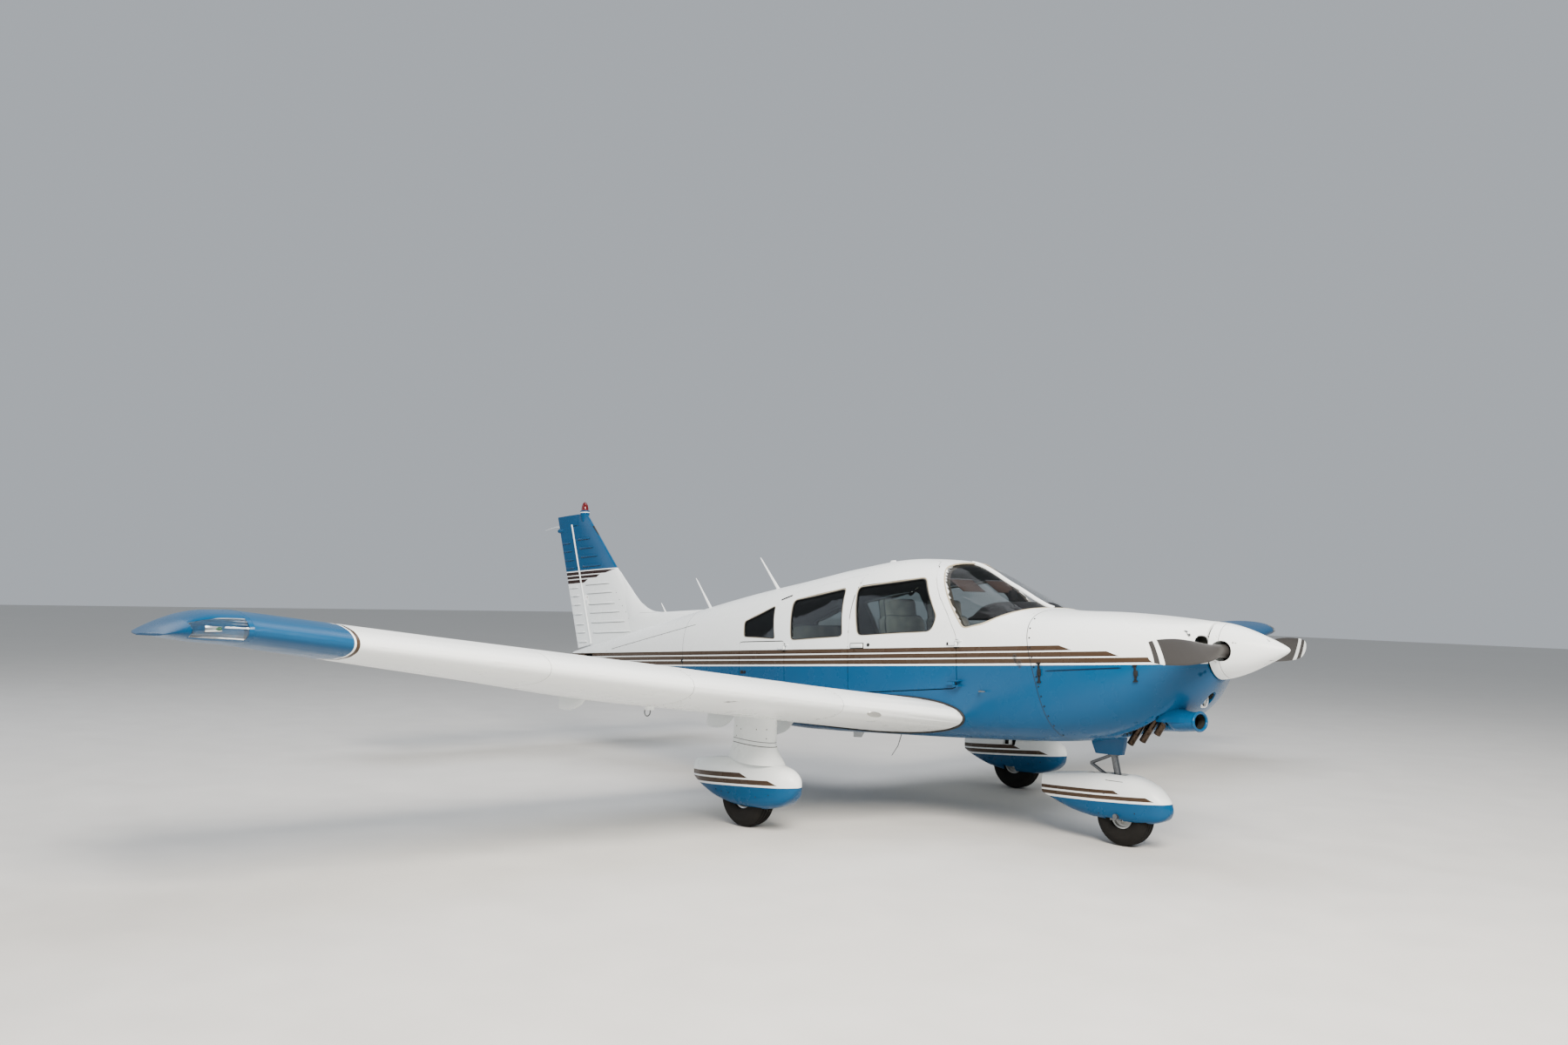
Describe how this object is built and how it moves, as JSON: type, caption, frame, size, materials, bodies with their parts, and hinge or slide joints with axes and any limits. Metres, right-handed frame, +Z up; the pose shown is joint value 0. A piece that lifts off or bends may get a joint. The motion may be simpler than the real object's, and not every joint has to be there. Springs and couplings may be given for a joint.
{
  "type": "light aircraft",
  "caption": "Low-wing four-seat single-engine light aircraft on fixed tricycle gear with wheel fairings, a two-blade propeller, opening doors, moving flaps and control surfaces.",
  "frame": {"origin": "on the ground under the middle of the overall length and span", "axes": "+X to the nose, +Y to port, +Z up; the ground is z = 0 and the airframe stands 3.4 degrees nose up"},
  "size_m": [7.5764, 10.8, 2.3996],
  "materials": {
    "white_paint": "gloss white paint on riveted sheet",
    "blue_paint": "gloss blue paint on riveted sheet",
    "glazing": "clear acrylic, lightly tinted",
    "tyre": "worn matt rubber",
    "blade_paint": "matt grey blades with a white band at each tip",
    "steel": "satin steel",
    "cast_alloy": "cast alloy wheel",
    "exhaust_steel": "heat-stained stainless steel",
    "engine_grey": "plain grey casting",
    "seat_cloth": "woven grey cloth",
    "trim": "black textured trim",
    "beacon_lens": "red beacon lens",
    "lamp_glass": "clear lamp glass"
  },
  "bodies": {
    "airframe": {"cabin_side_left": "white_paint", "cabin_side_right": "white_paint", "cabin_roof": "white_paint", "cabin_floor": "blue_paint", "firewall": "steel", "rear_bulkhead": "trim", "windshield": "glazing", "window_front_left": "glazing", "window_rear_left": "glazing", "window_rear_right": "glazing", "window_aft_left": "glazing", "window_aft_right": "glazing", "cowl_upper": "white_paint", "cowl_lower": "blue_paint", "landing_light": "lamp_glass", "exhaust": "exhaust_steel", "engine_block": "engine_grey", "wing_left": "white_paint", "wing_right": "white_paint", "wing_tip_left": "blue_paint", "wing_tip_right": "blue_paint", "fin": "white_paint", "beacon": "beacon_lens", "tail_cone": "white_paint", "tail_fairing": "white_paint", "main_leg_left": "white_paint", "main_leg_right": "white_paint", "main_fairing_left": "white_paint", "main_fairing_right": "white_paint", "nose_strut": "steel", "seat_front_left": "seat_cloth", "seat_front_right": "seat_cloth", "seat_rear": "seat_cloth", "instrument_panel": "trim"},
    "propeller": {"propeller": "blade_paint", "spinner": "white_paint"},
    "cabin_door": {"cabin_door": "white_paint", "window_front_right": "glazing"},
    "baggage_door": {"baggage_door": "white_paint"},
    "flap_left": {"flap_left": "white_paint"},
    "flap_right": {"flap_right": "white_paint"},
    "aileron_left": {"aileron_left": "white_paint"},
    "aileron_right": {"aileron_right": "white_paint"},
    "rudder": {"rudder": "white_paint"},
    "stabilator": {"stabilator": "white_paint"},
    "trim_tab": {"trim_tab": "white_paint"},
    "nose_steering": {"nose_fork": "steel", "nose_fairing": "white_paint"},
    "nose_wheel": {"nose_tyre": "tyre", "nose_rim": "cast_alloy"},
    "main_wheel_left": {"main_tyre_left": "tyre", "main_rim_left": "cast_alloy"},
    "main_wheel_right": {"main_tyre_right": "tyre", "main_rim_right": "cast_alloy"}
  },
  "joints": [
    {"name": "propeller_spin", "type": "hinge", "parent": "airframe", "child": "propeller", "pos_m": [3.41364, 0, 1.28772], "axis": [0.9982, 0, 0.0593], "continuous": true},
    {"name": "cabin_door_hinge", "type": "hinge", "parent": "airframe", "child": "cabin_door", "pos_m": [1.74095, -0.598, 0.97997], "axis": [-0.0588, 0.1305, 0.9897], "range_deg": [0, 60]},
    {"name": "baggage_door_hinge", "type": "hinge", "parent": "airframe", "child": "baggage_door", "pos_m": [0.05354, -0.541, 0.73447], "axis": [-0.0592, 0.0523, 0.9969], "range_deg": [0, 80]},
    {"name": "flap_left_hinge", "type": "hinge", "parent": "airframe", "child": "flap_left", "pos_m": [0.24661, 1.667, 0.739], "axis": [0.0072, -0.9925, -0.1217], "range_deg": [0, 40]},
    {"name": "flap_right_hinge", "type": "hinge", "parent": "airframe", "child": "flap_right", "pos_m": [0.24661, -1.667, 0.739], "axis": [-0.0072, -0.9925, 0.1217], "range_deg": [0, 40]},
    {"name": "aileron_left_hinge", "type": "hinge", "parent": "airframe", "child": "aileron_left", "pos_m": [0.29649, 3.765, 1.08357], "axis": [0.0561, 0.9858, 0.1585], "range_deg": [-12.5, 25]},
    {"name": "aileron_right_hinge", "type": "hinge", "parent": "airframe", "child": "aileron_right", "pos_m": [0.29649, -3.765, 1.08357], "axis": [-0.0561, 0.9858, -0.1585], "range_deg": [-12.5, 25]},
    {"name": "rudder_hinge", "type": "hinge", "parent": "airframe", "child": "rudder", "pos_m": [-3.14457, 0, 1.01229], "axis": [-0.3177, 0, 0.9482], "range_deg": [-27, 27]},
    {"name": "stabilator_hinge", "type": "hinge", "parent": "airframe", "child": "stabilator", "pos_m": [-3.05669, 0, 0.86524], "axis": [0, 1, 0], "range_deg": [-2, 14]},
    {"name": "trim_tab_hinge", "type": "hinge", "parent": "stabilator", "child": "trim_tab", "pos_m": [-3.51788, 0, 0.83784], "axis": [0, 1, 0], "range_deg": [-3, 12]},
    {"name": "nose_steering_hinge", "type": "hinge", "parent": "airframe", "child": "nose_steering", "pos_m": [2.61951, 0, 0.5], "axis": [-0.225, 0, 0.9744], "range_deg": [-20, 20]},
    {"name": "nose_wheel_spin", "type": "hinge", "parent": "nose_steering", "child": "nose_wheel", "pos_m": [2.692, 0, 0.186], "axis": [0, 1, 0], "continuous": true},
    {"name": "main_wheel_left_spin", "type": "hinge", "parent": "airframe", "child": "main_wheel_left", "pos_m": [0.755, 1.525, 0.205], "axis": [0, 1, 0], "continuous": true},
    {"name": "main_wheel_right_spin", "type": "hinge", "parent": "airframe", "child": "main_wheel_right", "pos_m": [0.755, -1.525, 0.205], "axis": [0, 1, 0], "continuous": true}
  ],
  "couplings": [
    {"joint": "flap_right_hinge", "follows": "flap_left_hinge", "ratio": 1},
    {"joint": "trim_tab_hinge", "follows": "stabilator_hinge", "ratio": 0.8},
    {"joint": "rudder_hinge", "follows": "nose_steering_hinge", "ratio": -1.35}
  ]
}
